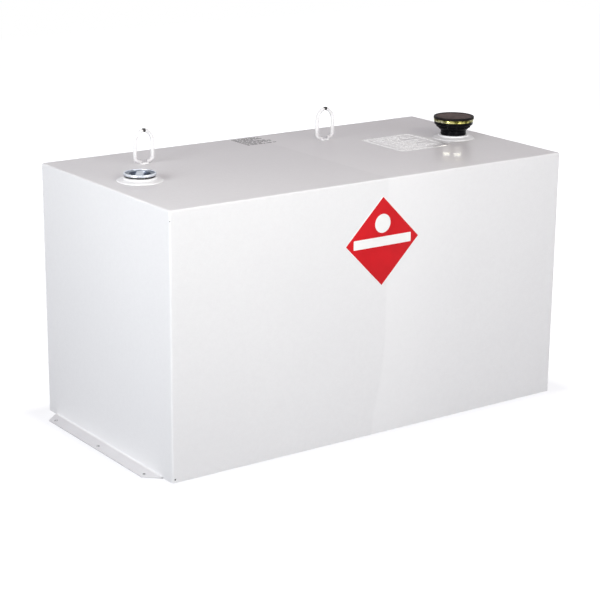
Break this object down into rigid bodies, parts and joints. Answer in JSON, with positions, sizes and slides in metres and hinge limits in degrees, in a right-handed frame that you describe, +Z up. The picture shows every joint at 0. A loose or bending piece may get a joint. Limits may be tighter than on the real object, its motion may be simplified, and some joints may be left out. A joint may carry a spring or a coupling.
{
  "type": "rectangular steel liquid transfer tank",
  "caption": "White rectangular steel liquid tank with bolt-down end flanges, upright lifting links, a plugged pump opening and a capped filler on top.",
  "frame": {"origin": "middle of the base, on the ground", "axes": "+X along the tank towards the filler, +Y from the front wall to the rear wall, +Z up"},
  "size_m": [1.177, 0.5725, 0.6933],
  "materials": {
    "white_paint": "gloss white powder coat",
    "zinc_plate": "blue-grey zinc plate",
    "rubber": "matte",
    "black_plastic": "gloss moulded black",
    "brass_band": "yellow passivated plate",
    "dark_cover": "dark brown-black gloss",
    "red_placard": "gloss red vinyl with a white edge"
  },
  "bodies": {
    "tank": {"floor_plate": "white_paint", "left_floor_weld": "white_paint", "right_floor_weld": "white_paint", "front_wall": "white_paint", "rear_wall": "white_paint", "left_end_wall": "white_paint", "right_end_wall": "white_paint", "top_plate": "white_paint", "bung_flange": "white_paint", "bung_flange_weld": "white_paint", "fill_flange": "white_paint", "fill_flange_weld": "white_paint", "fill_neck": "black_plastic", "left_lifting_link": "white_paint", "left_link_weld": "white_paint", "right_lifting_link": "white_paint", "right_link_weld": "white_paint", "front_placard": "red_placard"},
    "cap": {"fill_cap_body": "black_plastic", "fill_cap_gasket": "rubber", "fill_cap_band": "brass_band", "fill_cap_cover": "dark_cover"},
    "plug": {"bung_plug": "zinc_plate", "bung_plug_gasket": "rubber"}
  },
  "joints": [
    {"name": "cap_lift", "type": "slide", "parent": "tank", "child": "cap", "axis": [0, 0, 1], "range_m": [0, 0.12]},
    {"name": "plug_lift", "type": "slide", "parent": "tank", "child": "plug", "axis": [0, 0, 1], "range_m": [0, 0.12]}
  ]
}
